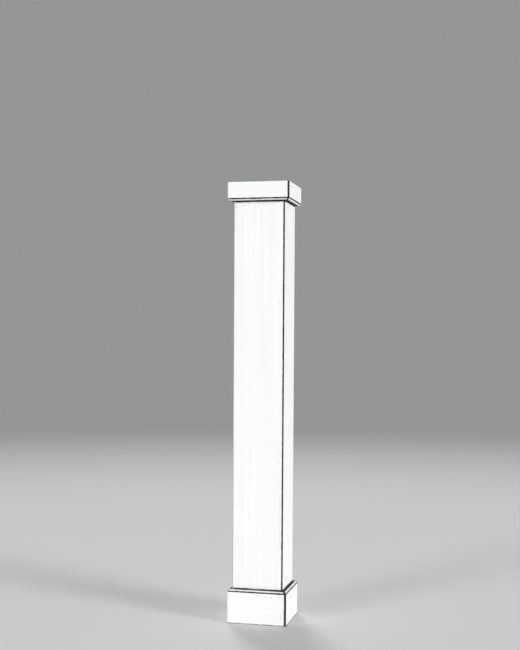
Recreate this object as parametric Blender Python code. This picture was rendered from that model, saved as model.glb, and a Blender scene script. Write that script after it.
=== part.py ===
"""Square hollow porch column of white cellular PVC board, 8 ft tall.

Four mitred boards make the shaft, four more make the base collar round its foot, and four make the
cap collar round its head. Each collar board has one long edge chamfered towards the shaft, which
leaves a flat ledge between the chamfer and the shaft. The mitres are quirk mitres: the sharp edges
are planed back before the boards are joined, which leaves a notch down each corner. The column is
open from end to end, so that it can stand round a structural post.

Metres, +Z up. The origin is on the floor, on the column's vertical centre line. The front board
faces -Y.
"""

import math

import bmesh
import bpy
from mathutils import Matrix, Vector

# Driving sizes.
COLUMN_HEIGHT = 2.438  # 8 ft, foot to head
SHAFT_WIDTH = 0.286  # 11 1/4 in, the true width of a nominal 12 in board
SHAFT_THICKNESS = 0.019  # 3/4 in board

BASE_HEIGHT = 0.188  # a 180 mm face and the chamfer above it
BASE_THICKNESS = 0.025  # 1 in board
BASE_CHAMFER = 0.008

CAP_HEIGHT = 0.100  # a 92 mm face and the chamfer below it
CAP_THICKNESS = 0.030
CAP_CHAMFER = 0.008

QUIRK_WIDTH = 0.006  # the notch down each corner, from the sharp corner on either face
QUIRK_SLOPE = math.radians(80)  # how steeply each side of the notch leaves its face
MITRE_GAP = 0.0003  # glue line between two boards at a corner
COLLAR_GAP = 0.0003  # glue line between a collar and the shaft inside it

PVC_WHITE = (0.93, 0.93, 0.935, 1.0)
PVC_ROUGHNESS = 0.38

# The board that faces each way, and its turn about the column's centre line from the front.
SIDES = {"front": 0, "right": 90, "back": 180, "left": 270}


def clear_scene():
    """Take away what the file opened with."""
    for leftover in list(bpy.data.objects):
        bpy.data.objects.remove(leftover, do_unlink=True)


def pvc_material(name):
    """White cellular PVC with its satin factory skin."""
    material = bpy.data.materials.new(name)
    material.use_nodes = True
    shader = material.node_tree.nodes["Principled BSDF"]
    shader.inputs["Base Color"].default_value = PVC_WHITE
    shader.inputs["Roughness"].default_value = PVC_ROUGHNESS
    shader.inputs["Metallic"].default_value = 0.0
    material.diffuse_color = PVC_WHITE
    return material


def chamfer_long_edge(board, face_y, edge_z, size):
    """Plane the long outer edge of a board at 45 degrees."""
    edge = next(
        candidate
        for candidate in board.edges
        if all(
            math.isclose(end.co.y, face_y, abs_tol=1e-6)
            and math.isclose(end.co.z, edge_z, abs_tol=1e-6)
            for end in candidate.verts
        )
    )
    bmesh.ops.bevel(
        board,
        geom=[edge],
        offset=size,
        offset_type="OFFSET",
        segments=1,
        affect="EDGES",
        clamp_overlap=False,
    )


def cut_quirks(board, outer_half_width):
    """Plane back the sharp edge at both ends, which makes this board's side of each notch."""
    for side in (-1, 1):
        cut = bmesh.ops.bisect_plane(
            board,
            geom=board.verts[:] + board.edges[:] + board.faces[:],
            plane_co=Vector((side * (outer_half_width - QUIRK_WIDTH), -outer_half_width, 0)),
            plane_no=Vector((side * math.sin(QUIRK_SLOPE), -math.cos(QUIRK_SLOPE), 0)),
            clear_outer=True,
        )
        rim = [item for item in cut["geom_cut"] if isinstance(item, bmesh.types.BMEdge)]
        bmesh.ops.holes_fill(board, edges=rim, sides=0)


def board_mesh(name, inner_half_width, thickness, foot, head, chamfer=0.0, chamfer_at_head=True):
    """One upright board of a square ring, at the front, with both ends mitred at 45 degrees.

    The board's back lies inner_half_width from the column's centre line, and its ends stop half a
    glue line short of the diagonals.
    """
    outer_half_width = inner_half_width + thickness
    end_set_back = MITRE_GAP / math.sqrt(2)
    board = bmesh.new()
    bmesh.ops.create_cube(board, size=1)
    for corner in board.verts:
        depth = inner_half_width if corner.co.y > 0 else outer_half_width
        reach = depth - end_set_back
        corner.co = Vector(
            (
                math.copysign(reach, corner.co.x),
                -depth,
                head if corner.co.z > 0 else foot,
            )
        )
    if chamfer:
        edge_z = head if chamfer_at_head else foot
        chamfer_long_edge(board, -outer_half_width, edge_z, chamfer)
    cut_quirks(board, outer_half_width)
    bmesh.ops.recalc_face_normals(board, faces=board.faces)
    mesh = bpy.data.meshes.new(name)
    board.to_mesh(mesh)
    board.free()
    return mesh


def place_ring(ring_name, mesh, material, column, collection):
    """Set four copies of a board round the column, one to each side."""
    mesh.materials.append(material)
    for side, turn in SIDES.items():
        board = bpy.data.objects.new(f"{ring_name}_{side}", mesh)
        collection.objects.link(board)
        board.parent = column
        board.matrix_local = Matrix.Rotation(math.radians(turn), 4, "Z")


def make_shaft(column, collection):
    """The four tall boards, running the whole height of the column."""
    mesh = board_mesh(
        "shaft_board",
        inner_half_width=SHAFT_WIDTH / 2 - SHAFT_THICKNESS,
        thickness=SHAFT_THICKNESS,
        foot=0.0,
        head=COLUMN_HEIGHT,
    )
    place_ring("shaft_board", mesh, pvc_material("shaft_pvc"), column, collection)


def make_base(column, collection):
    """The tall collar on the floor, with its upper edge chamfered."""
    mesh = board_mesh(
        "base_board",
        inner_half_width=SHAFT_WIDTH / 2 + COLLAR_GAP,
        thickness=BASE_THICKNESS,
        foot=0.0,
        head=BASE_HEIGHT,
        chamfer=BASE_CHAMFER,
        chamfer_at_head=True,
    )
    place_ring("base_board", mesh, pvc_material("base_pvc"), column, collection)


def make_cap(column, collection):
    """The shallower collar flush with the column's head, with its lower edge chamfered."""
    mesh = board_mesh(
        "cap_board",
        inner_half_width=SHAFT_WIDTH / 2 + COLLAR_GAP,
        thickness=CAP_THICKNESS,
        foot=COLUMN_HEIGHT - CAP_HEIGHT,
        head=COLUMN_HEIGHT,
        chamfer=CAP_CHAMFER,
        chamfer_at_head=False,
    )
    place_ring("cap_board", mesh, pvc_material("cap_pvc"), column, collection)


def make_column():
    """Build the whole column in a collection of its own, under one empty at its foot."""
    collection = bpy.data.collections.new("pvc_column")
    bpy.context.scene.collection.children.link(collection)
    column = bpy.data.objects.new("column_foot", None)
    column.empty_display_size = SHAFT_WIDTH
    collection.objects.link(column)
    make_shaft(column, collection)
    make_base(column, collection)
    make_cap(column, collection)


clear_scene()
make_column()
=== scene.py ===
"""A white square porch column of PVC board, 8 ft tall, standing on a pale studio floor.

Three rings of four boards each: the shaft, the base collar round its foot and the cap collar round
its head. Every board is mitred into its neighbours and glued. Metres, +Z up; the front faces -Y.
"""

import math

import bmesh
import bpy
from mathutils import Euler, Matrix, Vector


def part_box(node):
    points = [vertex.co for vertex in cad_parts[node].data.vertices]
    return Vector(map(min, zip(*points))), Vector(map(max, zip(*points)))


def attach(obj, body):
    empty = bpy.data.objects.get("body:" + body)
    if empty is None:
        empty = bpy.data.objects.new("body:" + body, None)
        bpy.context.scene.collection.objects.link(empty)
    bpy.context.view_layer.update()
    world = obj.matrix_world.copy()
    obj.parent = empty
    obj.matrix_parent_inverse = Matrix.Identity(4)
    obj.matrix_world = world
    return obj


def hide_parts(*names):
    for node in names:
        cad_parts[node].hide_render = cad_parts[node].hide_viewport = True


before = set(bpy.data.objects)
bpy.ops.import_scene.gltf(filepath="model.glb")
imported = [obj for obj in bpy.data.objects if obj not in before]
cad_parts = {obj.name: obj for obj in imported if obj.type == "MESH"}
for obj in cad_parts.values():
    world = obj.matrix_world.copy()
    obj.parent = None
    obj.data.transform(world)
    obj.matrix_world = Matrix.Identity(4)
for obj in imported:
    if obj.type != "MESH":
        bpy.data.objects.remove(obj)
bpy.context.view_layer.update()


# The shaft is four long boards of white cellular PVC, 3/4 in thick, sawn to 45 degrees along their
# edges and glued into a square tube, with a quirk, a small notch, left down each corner. The notch
# and the shaft just under the cap and just above the base are painted near black: painted shade
# with some dirt, and under the cap a painted shadow of the cap. The left edge of the front has
# none.

SIDES = {"front": 0, "right": 90, "back": 180, "left": 270}
SKIN, NOTCH, SAWN = range(3)  # a board's finishes, in the order of its material slots

shaft_low, shaft_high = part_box("shaft_board_front")
SHAFT_FACE = -shaft_low.y  # from the centre line to the outer face
SHAFT_BACK = -shaft_high.y
FOOT = shaft_low.z
HEAD = shaft_high.z
BASE_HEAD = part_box("base_board_front")[1].z
CAP_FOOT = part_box("cap_board_front")[0].z

GLUE_LINE = 0.0003
EDGE_EASE = 0.0008
EDGE_STEPS = 3
NOTCH_REACH = 0.0060  # from the sharp corner to where the notch begins
NOTCH_LIP = 0.0006
NOTCH_WALL = math.radians(80)  # how steeply the notch leaves the face
ASLANT = 0.1  # a direction with more than this of X in it isn't square to X
LEVEL = 0.99  # a face with more than this of Z in its normal lies flat
SAME_HEIGHT = 1e-4
CRISP_EDGE = math.radians(40)

SKIN_WHITE = (0.895, 0.893, 0.896, 1.0)
SKIN_STREAK = (0.872, 0.868, 0.880, 1.0)
SKIN_ROUGHNESS = 0.48
SKIN_GLOSS = 0.3
SAWN_WHITE = (0.84, 0.835, 0.83, 1.0)
SAWN_CELL = (0.66, 0.655, 0.66, 1.0)
SAWN_ROUGHNESS = 0.8
# Near-black painted shade with old dirt, and a paler dust on it, for notches, quirks, joints and
# ledges.
SEAM_SHADE_AND_DIRT = (0.013, 0.014, 0.019, 1.0)
SEAM_SHADE_AND_DUST = (0.040, 0.041, 0.051, 1.0)
SEAM_ROUGHNESS = 0.85
SCUFF_LILAC = (0.50, 0.48, 0.57, 1.0)
PVC_IOR = 1.53

# Noises, in lumps to the metre. Each RANGE is where a smooth change in one starts and ends.
STREAKS = 30.0
STREAK_RANGE = (0.42, 0.62)
BLOTCHES = 5.0
BLOTCH_ROUGHNESS = 0.12  # how far the roughness varies with them, in all
CRUMBS = 90.0
DUST_RANGE = (0.45, 0.65)
PATCHES = 13.0
PATCH_RANGE = (0.38, 0.52)
THINNEST_PATCH = 0.80

# Relief from a noise: lumps to the metre, strength, and depth.
PEEL = (700.0, 0.3, 2e-5)
DRAW_LINES = (60.0, 0.4, 1e-4)
GRIT = (1500.0, 0.6, 1e-4)
CELLS = (900.0, 0.6, 2e-4)
CELL_RANGE = (0.20, 0.60)
SOILING = 25.0
SOILING_RANGE = (0.40, 0.65)
MOST_SOILED = 0.35

# A faint broken line that the extruder's rollers left beside each corner.
ROLLER_LINE = 0.017  # from the mitre
ROLLER_WIDTH = (0.0005, 0.0030)
ROLLER_STRENGTH = 0.22
ROLLER_RANGE = (0.45, 0.60)

# Painted shade with dirt, and under the cap a painted shadow of it, is full at the first distance
# from its seam and gone at the second. The glue line at the mitre is a dark joint only.
GLUE_DIRT = (0.0004, 0.0014)
SHAFT_NOTCH_SHADE_AND_DIRT = (0.0058, 0.0092)
BASE_JOINT_SHADE_AND_DIRT = (0.0042, 0.0108)
# Under the cap this band on the shaft is a painted shadow of the cap, with some dirt.
CAP_JOINT_SHADOW_AND_DIRT = (0.0050, 0.0120)
# The edge of the painted shade and dirt wanders and has a fine grain; it keeps to the outer face.
SHADE_DIRT_WANDER = 0.0050  # how far the edge of the dirt wanders, in all
SHADE_DIRT_WANDERS = 45.0  # to the metre
SHADE_DIRT_GRAIN = 0.0036  # and how far its fine grain reaches, in all
SHADE_DIRT_GRAINS = 400.0
SHAFT_SHADE_DIRT_DEPTH = 0.0010  # dirt on the skin reaches this far in from the face
FACE_BLEND = 0.0005
MIDDLE_BLEND = 0.010

# Marks from handling, which the crumbs' noise breaks up and which are duller than the skin.
MARK_CORE = 0.3  # the share of its size over which a mark is at full strength
MARK_RANGE = (0.40, 0.56)
FAINTEST_MARK = 0.25
MARK_DULLING = 0.30

# Each mark's place, its half sizes across, along and up, and its strength.
SHAFT_MARKS = (
    ((-0.127, -SHAFT_FACE, 2.301), (0.010, 0.006, 0.012), 0.54),
    ((-0.084, -SHAFT_FACE, 2.311), (0.026, 0.006, 0.006), 0.32),
    ((0.119, -SHAFT_FACE, 1.779), (0.009, 0.006, 0.006), 0.54),
    ((0.120, -SHAFT_FACE, 1.756), (0.003, 0.006, 0.020), 0.61),
    ((-0.122, -SHAFT_FACE, 1.610), (0.006, 0.006, 0.014), 0.54),
    ((0.121, -SHAFT_FACE, 0.900), (0.005, 0.006, 0.016), 0.40),
    ((0.125, -SHAFT_FACE, 0.559), (0.004, 0.006, 0.008), 0.72),
    ((-0.115, -SHAFT_FACE, 0.457), (0.005, 0.006, 0.022), 0.47),
    ((-0.116, -SHAFT_FACE, 0.236), (0.006, 0.006, 0.013), 0.54),
    ((-0.010, -SHAFT_FACE, 0.207), (0.110, 0.006, 0.003), 0.36),
    ((SHAFT_FACE, -0.033, 2.308), (0.006, 0.060, 0.010), 0.50),
    ((SHAFT_FACE, -0.053, 2.137), (0.006, 0.028, 0.006), 0.47),
    ((SHAFT_FACE, 0.060, 1.690), (0.006, 0.016, 0.050), 0.29),
    ((SHAFT_FACE, -0.068, 1.620), (0.006, 0.008, 0.110), 0.47),
    ((SHAFT_FACE, -0.046, 0.236), (0.006, 0.045, 0.018), 0.61),
    ((-SHAFT_FACE, 0.112, 1.240), (0.006, 0.006, 0.020), 0.50),
    ((-SHAFT_FACE, -0.090, 2.300), (0.006, 0.030, 0.006), 0.36),
    ((0.118, SHAFT_FACE, 0.980), (0.006, 0.006, 0.016), 0.50),
    ((-0.040, SHAFT_FACE, 0.210), (0.080, 0.006, 0.003), 0.36),
)


def side_normal(start, end):
    """The outward normal of a side, for corners that run anticlockwise."""
    along = (end - start).normalized()
    return Vector((along.y, -along.x))


def meet(normal_a, distance_a, normal_b, distance_b):
    """Where a line at distance_a along normal_a crosses one at distance_b along normal_b."""
    return Matrix((normal_a, normal_b)).inverted() @ Vector((distance_a, distance_b))


def eased_corner(normal_in, normal_out):
    """The points of an eased edge, from the corner's place."""
    centre = meet(normal_in, -EDGE_EASE, normal_out, -EDGE_EASE)
    turn = normal_in.angle_signed(normal_out)
    spokes = [
        Matrix.Rotation(-turn * step / EDGE_STEPS, 2) @ normal_in for step in range(EDGE_STEPS + 1)
    ]
    return [centre + spoke * EDGE_EASE for spoke in spokes]


def board_section(corners):
    """The points round a board's upright section: (place, shift for a unit of inset, sunk).

    corners lists (out, up, detail, pull) anticlockwise, seen with out to the right: a corner's
    place, how it is finished, and 1 where the notch cuts the side that leaves it, or else 0. A
    point is sunk where the quirk runs from it to the next one.
    """
    points = []
    for index, (out, up, detail, pull) in enumerate(corners):
        here = Vector((out, up))
        before = Vector(corners[index - 1][:2])
        after = Vector(corners[(index + 1) % len(corners)][:2])
        normal_in = side_normal(before, here)
        normal_out = side_normal(here, after)
        shift = meet(normal_in, -corners[index - 1][3], normal_out, -pull)
        if detail == "quirk":
            places = quirk_corner((before - here).normalized(), (after - here).normalized())
        else:
            places = eased_corner(normal_in, normal_out)
        for place in places:
            points.append((here + place, shift, detail == "quirk" and place is not places[-1]))
    return points


def notch_rings():
    """A board's end, from where the notch begins to the mitre: (distance before it, inset)."""
    rings = []
    for step in range(EDGE_STEPS + 1):
        angle = NOTCH_WALL * step / EDGE_STEPS
        inset = NOTCH_LIP * (1 - math.cos(angle))
        rings.append((NOTCH_REACH - NOTCH_LIP * math.sin(angle) - inset, inset))
    left, inset = rings[-1]
    share = math.sin(NOTCH_WALL) / (math.sin(NOTCH_WALL) + math.cos(NOTCH_WALL))
    rings.append((0.0, inset + left * share))
    return rings


def mitred_board(name, corners, side, finishes, sawn_heights):
    """One board of a ring, run between its two mitres and turned to its side of the column.

    finishes are the skin, the notch's and the sawn edges', which lie flat at sawn_heights. The
    notch's finish is painted shade with dirt; the left board's wall of the notch that faces the
    front is sawn
    PVC without it.
    """
    section = board_section(corners)
    rings = notch_rings()
    board = bmesh.new()
    loops = []
    for end, order in ((-1, reversed(rings)), (1, rings)):
        for before_mitre, inset in order:
            loop = []
            for point, shift, _ in section:
                out, up = point + shift * inset
                reach = out - before_mitre - GLUE_LINE / math.sqrt(2)
                loop.append(board.verts.new((end * reach, -out, up)))
            loops.append(loop)
    notch_walls = [board.faces.new(loop) for loop in (loops[0], loops[-1])]
    for loop, next_loop in zip(loops, loops[1:]):
        for index, start in enumerate(loop):
            following = (index + 1) % len(loop)
            face = board.faces.new((start, loop[following], next_loop[following], next_loop[index]))
            face.smooth = True
            face.material_index = NOTCH if section[index][2] else SKIN
            if loop is loops[0] or next_loop is loops[-1]:
                notch_walls.append(face)
    bmesh.ops.recalc_face_normals(board, faces=board.faces)
    for wall in notch_walls:
        # The notch's walls take the painted shade and dirt, but the left board's front-facing wall
        # stays sawn PVC.
        if abs(wall.normal.x) > ASLANT:
            wall.material_index = SAWN if side == "left" and wall.normal.x > 0 else NOTCH
    for face in board.faces:
        height = face.calc_center_median().z
        at_sawn = any(abs(height - sawn) < SAME_HEIGHT for sawn in sawn_heights)
        if abs(face.normal.z) > LEVEL and at_sawn:
            face.material_index = SAWN
    board.transform(Matrix.Rotation(math.radians(SIDES[side]), 4, "Z"))
    mesh = bpy.data.meshes.new(name)
    board.to_mesh(mesh)
    board.free()
    for finish in finishes:
        mesh.materials.append(finish)
    mesh.set_sharp_from_angle(angle=CRISP_EDGE)
    piece = bpy.data.objects.new(name, mesh)
    bpy.context.scene.collection.objects.link(piece)
    flats = piece.modifiers.new("flat_faces", "WEIGHTED_NORMAL")
    flats.keep_sharp = True
    return piece


def new_finish(name):
    """A material with its node tree and its shader."""
    finish = bpy.data.materials.new(name)
    finish.use_nodes = True
    return finish, finish.node_tree, finish.node_tree.nodes["Principled BSDF"]


def plug(tree, socket, value):
    """Give a socket a number or a colour, or link it to another node's output."""
    if isinstance(value, bpy.types.NodeSocket):
        tree.links.new(value, socket)
    else:
        socket.default_value = value


def add_node(tree, kind, inputs=(), **settings):
    """A shader node with its settings and its inputs."""
    node = tree.nodes.new(kind)
    for key, value in settings.items():
        setattr(node, key, value)
    for key, value in dict(inputs).items():
        plug(tree, node.inputs[key], value)
    return node


def object_place(tree):
    """A point's place, in metres from the column's foot."""
    return add_node(tree, "ShaderNodeTexCoord").outputs["Object"]


def reckon(tree, operation, *values):
    """The result of a Math node."""
    return add_node(tree, "ShaderNodeMath", enumerate(values), operation=operation).outputs[0]


def apart(tree, first, second):
    """How far one value is from another."""
    return reckon(tree, "ABSOLUTE", reckon(tree, "SUBTRACT", first, second))


def length(tree, vector):
    """The length of a vector."""
    node = add_node(tree, "ShaderNodeVectorMath", {0: vector}, operation="LENGTH")
    return node.outputs["Value"]


def most(tree, *values):
    """The greatest of some values."""
    greatest = values[0]
    for value in values[1:]:
        greatest = reckon(tree, "MAXIMUM", greatest, value)
    return greatest


def ramp(tree, value, start, end, at_start=1.0, at_end=0.0):
    """A smooth change from at_start, where value is start, to at_end, where it is end."""
    ranges = {"Value": value, "From Min": start, "From Max": end}
    ranges.update({"To Min": at_start, "To Max": at_end})
    node = add_node(tree, "ShaderNodeMapRange", ranges, interpolation_type="SMOOTHSTEP")
    return node.outputs["Result"]


def rise(tree, value, start, end):
    """A smooth change from 0, where value is start, to 1, where it is end."""
    return ramp(tree, value, start, end, 0.0, 1.0)


def blend(tree, share, first, second):
    """A colour that goes from first, where share is 0, to second, where it is 1."""
    mix = add_node(tree, "ShaderNodeMix", data_type="RGBA")
    for at, value in ((0, share), (6, first), (7, second)):  # its sockets for mixing colours
        plug(tree, mix.inputs[at], value)
    return mix.outputs[2]


def noise(tree, place, scale, stretch=(1, 1, 1), detail=2.0):
    """Noise, so many lumps to the metre, drawn out where stretch is less than 1."""
    drawn = add_node(tree, "ShaderNodeMapping", {"Vector": place, "Scale": stretch})
    inputs = {"Vector": drawn.outputs["Vector"], "Scale": scale, "Detail": detail}
    return add_node(tree, "ShaderNodeTexNoise", inputs).outputs["Fac"]


def bumps(tree, shader, *reliefs):
    """Relief from some (height, (lumps to the metre, strength, depth))."""
    normal = None
    for height, (_, strength, depth) in reliefs:
        inputs = {"Height": height, "Strength": strength, "Distance": depth}
        if normal:
            inputs["Normal"] = normal
        normal = add_node(tree, "ShaderNodeBump", inputs).outputs["Normal"]
    tree.links.new(normal, shader.inputs["Normal"])


def handling_marks(tree, place, crumbs, marks):
    """How strongly a point is marked by any of the marks, which are broken up by the crumbs."""
    marked = []
    for centre, half_sizes, strength in marks:
        scale = [1 / half for half in half_sizes]
        offset = [-middle * by for middle, by in zip(centre, scale)]
        fitted = add_node(
            tree, "ShaderNodeMapping", {"Vector": place, "Scale": scale, "Location": offset}
        )
        away = length(tree, fitted.outputs["Vector"])
        marked.append(ramp(tree, away, MARK_CORE, 1.0, strength, 0.0))
    broken = ramp(tree, crumbs, *MARK_RANGE, FAINTEST_MARK, 1.0)
    return reckon(tree, "MULTIPLY", most(tree, *marked), broken)


def roller_line(tree, from_mitre, blotches):
    """How strongly the rollers' line shows, which is only here and there."""
    line = ramp(tree, apart(tree, from_mitre, ROLLER_LINE), *ROLLER_WIDTH, ROLLER_STRENGTH, 0.0)
    return reckon(tree, "MULTIPLY", line, rise(tree, blotches, *ROLLER_RANGE))


def ragged_edge(tree, place):
    """How much nearer to its seam than elsewhere the painted shade and dirt end, at a point."""
    wander = noise(tree, place, SHADE_DIRT_WANDERS, detail=3.0)
    grain = noise(tree, place, SHADE_DIRT_GRAINS, detail=2.0)
    return reckon(
        tree,
        "ADD",
        reckon(tree, "MULTIPLY_ADD", wander, SHADE_DIRT_WANDER, -SHADE_DIRT_WANDER / 2),
        reckon(tree, "MULTIPLY_ADD", grain, SHADE_DIRT_GRAIN, -SHADE_DIRT_GRAIN / 2),
    )


def shade_and_dirt_colour(tree, crumbs):
    """The colour of painted shade and old dirt, nearly black, with paler dust on it."""
    return blend(tree, rise(tree, crumbs, *DUST_RANGE), SEAM_SHADE_AND_DIRT, SEAM_SHADE_AND_DUST)


def pvc_skin(name, stretch, shade_dirt_face, notch, seams, ledge, marks):
    """The satin skin: faint streaks along the board, handling marks, painted shade and dirt in
    seams.

    Painted shade with dirt lies only on what reaches out past the given face distance: it is full
    at the first distance and gone at the second. The notch is (full, gone), each seam is (height,
    full, gone) and ledge is (height, width, full, gone). The notch at the left of the front has
    none on that side. Under the cap the seam's band is a painted shadow.
    """
    finish, tree, shader = new_finish(name)
    place = object_place(tree)
    axes = add_node(tree, "ShaderNodeSeparateXYZ", {"Vector": place}).outputs
    across = reckon(tree, "ABSOLUTE", axes["X"])
    along = reckon(tree, "ABSOLUTE", axes["Y"])
    out = reckon(tree, "MAXIMUM", across, along)
    from_mitre = apart(tree, across, along)

    streaks = noise(tree, place, STREAKS, stretch, detail=3.0)
    blotches = noise(tree, place, BLOTCHES)
    crumbs = noise(tree, place, CRUMBS, detail=3.0)
    colour = blend(tree, rise(tree, streaks, *STREAK_RANGE), SKIN_STREAK, SKIN_WHITE)
    marked = handling_marks(tree, place, crumbs, marks)
    scuffed = most(tree, roller_line(tree, from_mitre, blotches), marked)
    colour = blend(tree, scuffed, colour, SCUFF_LILAC)

    ragged = ragged_edge(tree, place)
    not_left = rise(tree, axes["X"], -MIDDLE_BLEND, MIDDLE_BLEND)
    not_front = rise(tree, axes["Y"], -shade_dirt_face, FACE_BLEND - shade_dirt_face)
    # Painted shade with dirt in the notch, left off the front's left edge.
    notch_shade_and_dirt = ramp(tree, reckon(tree, "ADD", from_mitre, ragged), *notch)
    shade_and_dirt_masks = [reckon(tree, "MULTIPLY", notch_shade_and_dirt, most(tree, not_left, not_front))]
    patches = noise(tree, place, PATCHES, detail=3.0)
    patchy = ramp(tree, patches, *PATCH_RANGE, THINNEST_PATCH, 1.0)
    # Painted shade with dirt along each seam, and on the shaft under the cap a painted shadow.
    for height, full, gone in seams:
        seam_edge = reckon(tree, "ADD", apart(tree, axes["Z"], height), ragged)
        shade_and_dirt_masks.append(reckon(tree, "MULTIPLY", ramp(tree, seam_edge, full, gone), patchy))
    # Only the outer faces take the painted shade and dirt, not the hollow's inside.
    on_outer_face = rise(tree, out, shade_dirt_face - FACE_BLEND, shade_dirt_face)
    dirt = reckon(tree, "MULTIPLY", on_outer_face, most(tree, *shade_and_dirt_masks))
    if ledge:
        # The ledge's painted shade with dirt.
        dirt = most(tree, dirt, ledge_shade_and_dirt(tree, axes["Z"], out, crumbs, ragged, ledge))
    dirt = most(tree, ramp(tree, from_mitre, *GLUE_DIRT), dirt)
    # Wherever the mask is set, the skin is darkened to painted shade with dirt.
    colour = blend(tree, dirt, colour, shade_and_dirt_colour(tree, crumbs))

    smoothest = SKIN_ROUGHNESS - BLOTCH_ROUGHNESS / 2
    roughness = reckon(tree, "MULTIPLY_ADD", blotches, BLOTCH_ROUGHNESS, smoothest)
    roughness = reckon(tree, "MULTIPLY_ADD", marked, MARK_DULLING, roughness)
    roughness = ramp(tree, dirt, 0.0, 1.0, roughness, SEAM_ROUGHNESS)

    shader.inputs["IOR"].default_value = PVC_IOR
    shader.inputs["Specular IOR Level"].default_value = SKIN_GLOSS
    tree.links.new(colour, shader.inputs["Base Color"])
    tree.links.new(roughness, shader.inputs["Roughness"])
    peel = noise(tree, place, PEEL[0], detail=1.0)
    draw_lines = noise(tree, place, DRAW_LINES[0], stretch)
    bumps(tree, shader, (peel, PEEL), (draw_lines, DRAW_LINES))
    return finish


def packed_dirt_and_shade(name):
    """Painted shade with old dirt, packed over the sawn PVC in the notches and quirks."""
    finish, tree, shader = new_finish(name)
    place = object_place(tree)
    crumbs = noise(tree, place, CRUMBS, detail=3.0)
    shader.inputs["Roughness"].default_value = SEAM_ROUGHNESS
    tree.links.new(shade_and_dirt_colour(tree, crumbs), shader.inputs["Base Color"])
    bumps(tree, shader, (noise(tree, place, GRIT[0]), GRIT))
    return finish


def sawn_pvc(name):
    """A sawn edge, dull, with the fine cells of the foamed core cut open."""
    finish, tree, shader = new_finish(name)
    place = object_place(tree)
    cells = add_node(tree, "ShaderNodeTexVoronoi", {"Vector": place, "Scale": CELLS[0]})
    cells = cells.outputs["Distance"]
    soiling = noise(tree, place, SOILING, detail=3.0)
    soiled = ramp(tree, soiling, *SOILING_RANGE, 0.0, MOST_SOILED)
    pale = blend(tree, soiled, SAWN_WHITE, SAWN_CELL)
    colour = blend(tree, rise(tree, cells, *CELL_RANGE), pale, SAWN_CELL)
    shader.inputs["IOR"].default_value = PVC_IOR
    shader.inputs["Roughness"].default_value = SAWN_ROUGHNESS
    tree.links.new(colour, shader.inputs["Base Color"])
    bumps(tree, shader, (cells, CELLS))
    return finish


shaft_skin = pvc_skin(
    "shaft_skin",
    stretch=(1, 1, 0.03),
    shade_dirt_face=SHAFT_FACE - SHAFT_SHADE_DIRT_DEPTH,
    notch=SHAFT_NOTCH_SHADE_AND_DIRT,
    seams=((BASE_HEAD, *BASE_JOINT_SHADE_AND_DIRT), (CAP_FOOT, *CAP_JOINT_SHADOW_AND_DIRT)),
    ledge=None,
    marks=SHAFT_MARKS,
)
# The notches and quirks take a near-black finish of painted shade with dirt.
notch_shade_finish = packed_dirt_and_shade("notch_shade_and_dirt")
sawn_finish = sawn_pvc("sawn_pvc")
shaft_corners = [
    (SHAFT_FACE, FOOT, "eased", 1),
    (SHAFT_FACE, HEAD, "eased", 0),
    (SHAFT_BACK, HEAD, "eased", 0),
    (SHAFT_BACK, FOOT, "eased", 0),
]
for side in SIDES:
    finishes = (shaft_skin, notch_shade_finish, sawn_finish)
    board = mitred_board(f"shaft_{side}", shaft_corners, side, finishes, (FOOT, HEAD))
    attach(board, "root")
    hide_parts(f"shaft_board_{side}")


# The base collar is four boards round the shaft's foot, planed from 1 in PVC and mitred like the
# shaft. The top outer edge is chamfered and a fine quirk parts it from the face; behind it a flat
# ledge runs in to the shaft.

base_low, base_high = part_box("base_board_front")
BASE_FACE = -base_low.y
BASE_BACK = -base_high.y
BASE_CHAMFER = 0.008
QUIRK_UNDER = 0.0045  # from the arris, along the face
QUIRK_OVER = 0.0015  # from the arris, along the chamfer
QUIRK_DEPTH = 0.0032
QUIRK_MIDDLE = 0.0017  # from the arris to the quirk's middle

# As for the shaft, painted shade with dirt is full at the first distance and gone at the second.
# The base's notch, quirk, foot and ledge bands are painted shade with dirt.
BASE_NOTCH_SHADE_AND_DIRT = (0.0088, 0.0126)
QUIRK_SHADE_AND_DIRT = (0.0024, 0.0050)
FOOT_SHADE_AND_DIRT = (0.0010, 0.0055)
BASE_LEDGE_SHADE_AND_DIRT = (0.0100, 0.0145)

# Beyond the painted shade and dirt next to the shaft, the rest of a ledge has a film of it.
LEDGE_SHADE_FILM = 0.80
SHADE_FILM_RANGE = (0.35, 0.60)
THINNEST_SHADE_FILM = 0.6
LEDGE_ABOVE = (0.002, 0.003)
LEDGE_INNER = 0.0006  # the film begins to end this far before the ledge's edge
LEDGE_OUTER = 0.0004

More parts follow.
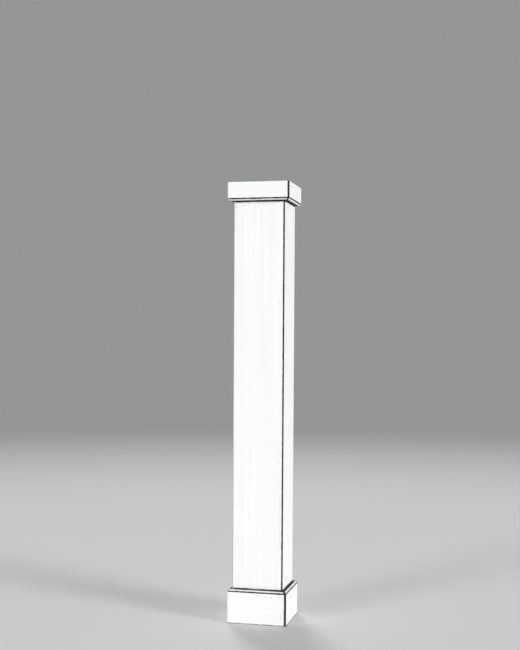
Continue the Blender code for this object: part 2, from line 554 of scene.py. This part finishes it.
BASE_MARKS = (
    ((0.012, -BASE_FACE, 0.160), (0.016, 0.006, 0.005), 0.47),
    ((0.050, -BASE_FACE, 0.157), (0.018, 0.006, 0.005), 0.47),
    ((0.084, -BASE_FACE, 0.154), (0.006, 0.006, 0.006), 0.85),
    ((0.136, -BASE_FACE, 0.160), (0.016, 0.006, 0.007), 0.85),
    ((0.141, -BASE_FACE, 0.054), (0.005, 0.006, 0.024), 0.47),
    ((0.039, -BASE_FACE, 0.035), (0.006, 0.006, 0.005), 0.47),
    ((-0.117, -BASE_FACE, 0.018), (0.050, 0.006, 0.004), 0.32),
    ((0.059, -BASE_FACE, 0.018), (0.090, 0.006, 0.004), 0.29),
    ((BASE_FACE, 0.018, 0.170), (0.006, 0.022, 0.011), 0.76),
    ((BASE_FACE, -0.034, 0.140), (0.006, 0.018, 0.011), 0.68),
    ((BASE_FACE, 0.048, 0.030), (0.006, 0.016, 0.010), 0.65),
    ((BASE_FACE, 0.085, 0.172), (0.006, 0.022, 0.006), 0.47),
    ((-BASE_FACE, 0.060, 0.050), (0.006, 0.030, 0.008), 0.54),
    ((-0.080, BASE_FACE, 0.150), (0.024, 0.006, 0.008), 0.54),
)


def quirk_corner(to_before, to_after):
    """The points of a quirk, a small square groove, from the place of the arris that it takes."""
    ends = [
        way * (QUIRK_OVER if abs(way.x) > ASLANT else QUIRK_UNDER) for way in (to_before, to_after)
    ]
    sunk = [Vector((-QUIRK_DEPTH, end.y)) for end in ends]
    return (ends[0], *sunk, ends[1])


def ledge_shade_and_dirt(tree, up, out, crumbs, ragged, ledge):
    """Painted shade with dirt on a collar's ledge, full next to the shaft and a film over the rest.
    """
    height, width, full, gone = ledge
    at_ledge = ramp(tree, apart(tree, up, height), *LEDGE_ABOVE)
    from_shaft = reckon(tree, "SUBTRACT", out, SHAFT_FACE)
    film = ramp(tree, from_shaft, width - LEDGE_INNER, width + LEDGE_OUTER, LEDGE_SHADE_FILM, 0.0)
    film = reckon(tree, "MULTIPLY", film, ramp(tree, crumbs, *SHADE_FILM_RANGE, THINNEST_SHADE_FILM, 1.0))
    near_shaft = ramp(tree, reckon(tree, "ADD", from_shaft, ragged), full, gone)
    return reckon(tree, "MULTIPLY", at_ledge, most(tree, film, near_shaft))


base_skin = pvc_skin(
    "base_skin",
    stretch=(0.04, 0.04, 1),
    shade_dirt_face=BASE_FACE - BASE_CHAMFER,
    notch=BASE_NOTCH_SHADE_AND_DIRT,
    seams=((BASE_HEAD - BASE_CHAMFER - QUIRK_MIDDLE, *QUIRK_SHADE_AND_DIRT), (FOOT, *FOOT_SHADE_AND_DIRT)),
    ledge=(BASE_HEAD, BASE_FACE - BASE_CHAMFER - SHAFT_FACE, *BASE_LEDGE_SHADE_AND_DIRT),
    marks=BASE_MARKS,
)
base_corners = [
    (BASE_FACE, FOOT, "eased", 1),
    (BASE_FACE, BASE_HEAD - BASE_CHAMFER, "quirk", 1),
    (BASE_FACE - BASE_CHAMFER, BASE_HEAD, "eased", 0),
    (BASE_BACK, BASE_HEAD, "eased", 0),
    (BASE_BACK, FOOT, "eased", 0),
]
for side in SIDES:
    finishes = (base_skin, notch_shade_finish, sawn_finish)
    board = mitred_board(f"base_{side}", base_corners, side, finishes, (FOOT,))
    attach(board, "root")
    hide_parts(f"base_board_{side}")


# The cap collar is four boards round the shaft's head, flush with it, a little thicker than the
# base's. The chamfer and its quirk are along the bottom outer edge, over a flat ledge that is
# painted dark, painted shade with some dirt.

cap_low, cap_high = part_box("cap_board_front")
CAP_FACE = -cap_low.y
CAP_BACK = -cap_high.y
CAP_CHAMFER = 0.008
# The cap's notch and ledge bands are painted shade with dirt.
CAP_NOTCH_SHADE_AND_DIRT = (0.0076, 0.0114)
CAP_LEDGE_SHADE_AND_DIRT = (0.0120, 0.0180)

CAP_MARKS = (
    ((-0.145, -CAP_FACE, 2.360), (0.008, 0.006, 0.004), 0.50),
    ((-0.101, -CAP_FACE, 2.363), (0.012, 0.006, 0.004), 0.50),
    ((-0.043, -CAP_FACE, 2.360), (0.007, 0.006, 0.006), 0.50),
    ((0.036, -CAP_FACE, 2.354), (0.026, 0.006, 0.004), 0.40),
    ((-0.108, -CAP_FACE, 2.424), (0.040, 0.006, 0.003), 0.36),
    ((CAP_FACE, -0.075, 2.416), (0.006, 0.030, 0.010), 0.58),
    ((CAP_FACE, 0.059, 2.426), (0.006, 0.026, 0.004), 0.50),
    ((CAP_FACE, 0.041, 2.369), (0.006, 0.030, 0.009), 0.61),
    ((-CAP_FACE, -0.060, 2.364), (0.006, 0.022, 0.005), 0.47),
    ((0.090, CAP_FACE, 2.420), (0.030, 0.006, 0.005), 0.47),
)

cap_skin = pvc_skin(
    "cap_skin",
    stretch=(0.04, 0.04, 1),
    shade_dirt_face=CAP_FACE - CAP_CHAMFER,
    notch=CAP_NOTCH_SHADE_AND_DIRT,
    seams=((CAP_FOOT + CAP_CHAMFER + QUIRK_MIDDLE, *QUIRK_SHADE_AND_DIRT),),
    ledge=(CAP_FOOT, CAP_FACE - CAP_CHAMFER - SHAFT_FACE, *CAP_LEDGE_SHADE_AND_DIRT),
    marks=CAP_MARKS,
)
cap_corners = [
    (CAP_FACE - CAP_CHAMFER, CAP_FOOT, "eased", 1),
    (CAP_FACE, CAP_FOOT + CAP_CHAMFER, "quirk", 1),
    (CAP_FACE, HEAD, "eased", 0),
    (CAP_BACK, HEAD, "eased", 0),
    (CAP_BACK, CAP_FOOT, "eased", 0),
]
for side in SIDES:
    finishes = (cap_skin, notch_shade_finish, sawn_finish)
    board = mitred_board(f"cap_{side}", cap_corners, side, finishes, (HEAD,))
    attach(board, "root")
    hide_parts(f"cap_board_{side}")


# The floor is one wide pale disc, painted matte. Away from the column it takes on the even grey of
# the room, so that no edge shows behind the column from any side.

FLOOR_RADIUS = 60.0
FLOOR_SEGMENTS = 96
FLOOR_FADE = (4.0, 14.0)  # from the column, where the paint gives way to the room's grey
FLOOR_PALE = (0.74, 0.74, 0.75, 1.0)
FLOOR_ROUGHNESS = 0.9
ROOM_GREY = (0.30, 0.303, 0.312, 1.0)
BLACK = (0.0, 0.0, 0.0, 1.0)

floor_mesh = bpy.data.meshes.new("floor")
floor_plan = bmesh.new()
bmesh.ops.create_circle(floor_plan, cap_ends=True, radius=FLOOR_RADIUS, segments=FLOOR_SEGMENTS)
floor_plan.to_mesh(floor_mesh)
floor_plan.free()
floor = bpy.data.objects.new("floor", floor_mesh)
bpy.context.scene.collection.objects.link(floor)
floor_paint, tree, shader = new_finish("floor_paint")
from_column = length(tree, object_place(tree))
paint_colour = blend(tree, ramp(tree, from_column, *FLOOR_FADE), BLACK, FLOOR_PALE)
tree.links.new(paint_colour, shader.inputs["Base Color"])
tree.links.new(rise(tree, from_column, *FLOOR_FADE), shader.inputs["Emission Strength"])
shader.inputs["Emission Color"].default_value = ROOM_GREY
shader.inputs["Roughness"].default_value = FLOOR_ROUGHNESS
shader.inputs["Specular IOR Level"].default_value = 0.0
floor_mesh.materials.append(floor_paint)


# The light is soft: a broad key from the left of the front, a second from the right for the side
# that shows, a weaker one from behind, and the even grey of the room.

LAMP_SPREAD = math.radians(20)
LAMPS = {  # azimuth, elevation and strength
    "key_light": (-32, 11, 1.44),
    "side_light": (68, 11, 2.60),
    "back_light": (205, 20, 2.1),
}

room = bpy.data.worlds.new("room")
room.use_nodes = True
room.node_tree.nodes["Background"].inputs["Color"].default_value = ROOM_GREY
bpy.context.scene.world = room
for name, (azimuth, elevation, strength) in LAMPS.items():
    lamp = bpy.data.lights.new(name, "SUN")
    lamp.energy = strength
    lamp.angle = LAMP_SPREAD
    light = bpy.data.objects.new(name, lamp)
    light.rotation_euler = Euler((math.radians(90 - elevation), 0, math.radians(azimuth)))
    bpy.context.scene.collection.objects.link(light)


# The camera stands at eye level, a little to the right of the front, about 6 m off. It looks
# almost level, and its frame is shifted up, so that the column's sides stay nearly upright.

CAMERA_AZIMUTH = 12.95
CAMERA_DISTANCE = 6.371
CAMERA_HEIGHT = 1.585
CAMERA_YAW = 0.205  # turned this much to the left of the column
CAMERA_PITCH = -2.172
CAMERA_ROLL = 0.322
CAMERA_LENS = 62.70
CAMERA_SENSOR = 36.0
CAMERA_SHIFT_UP = 0.0862
CAMERA_REACH = 200.0

stand = math.radians(CAMERA_AZIMUTH)
camera_data = bpy.data.cameras.new("camera")
camera_data.lens = CAMERA_LENS
camera_data.sensor_width = CAMERA_SENSOR
camera_data.shift_y = CAMERA_SHIFT_UP
camera_data.clip_end = CAMERA_REACH
camera = bpy.data.objects.new("camera", camera_data)
camera.location = (
    CAMERA_DISTANCE * math.sin(stand),
    -CAMERA_DISTANCE * math.cos(stand),
    CAMERA_HEIGHT,
)
heading = Matrix.Rotation(math.radians(CAMERA_AZIMUTH + CAMERA_YAW), 4, "Z")
level = Matrix.Rotation(math.radians(90 + CAMERA_PITCH), 4, "X")
roll = Matrix.Rotation(math.radians(CAMERA_ROLL), 4, "Z")
camera.rotation_euler = (heading @ level @ roll).to_euler()
bpy.context.scene.collection.objects.link(camera)
bpy.context.scene.camera = camera

bpy.context.scene.view_settings.view_transform = "Standard"
